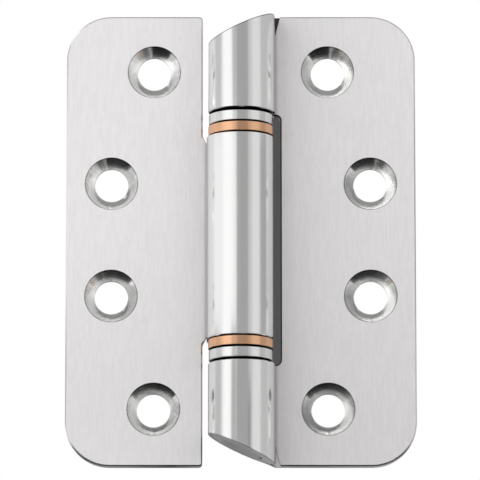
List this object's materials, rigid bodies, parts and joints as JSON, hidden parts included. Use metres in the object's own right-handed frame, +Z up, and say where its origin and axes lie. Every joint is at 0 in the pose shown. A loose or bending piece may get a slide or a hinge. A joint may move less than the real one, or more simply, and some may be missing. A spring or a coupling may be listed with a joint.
{
  "type": "anti-ligature hinge",
  "caption": "Stainless butt hinge with rounded leaves, countersunk screw holes, washered knuckles and a barrel whose ends slope so that a loop slides off.",
  "frame": {"origin": "on the pin's axis at half height, which is also the centre of the open hinge", "axes": "+Z up the pin, +X to the frame leaf, -Y the front, where the countersinks open"},
  "size_m": [0.078, 0.0146, 0.102],
  "materials": {
    "satin_stainless": "satin, brushed upright",
    "bright_stainless": "turned",
    "bronze": "turned"
  },
  "bodies": {
    "frame_side": {"frame_leaf": "satin_stainless", "hinge_pin": "bright_stainless", "upper_steel_washer": "bright_stainless", "lower_steel_washer": "bright_stainless"},
    "door_side": {"door_leaf": "satin_stainless", "upper_bronze_washer": "bronze", "lower_bronze_washer": "bronze"}
  },
  "joints": [
    {"name": "door_swing", "type": "hinge", "parent": "frame_side", "child": "door_side", "pos_m": [0, 0, 0], "axis": [0, 0, 1], "range_deg": [-90, 180]}
  ]
}
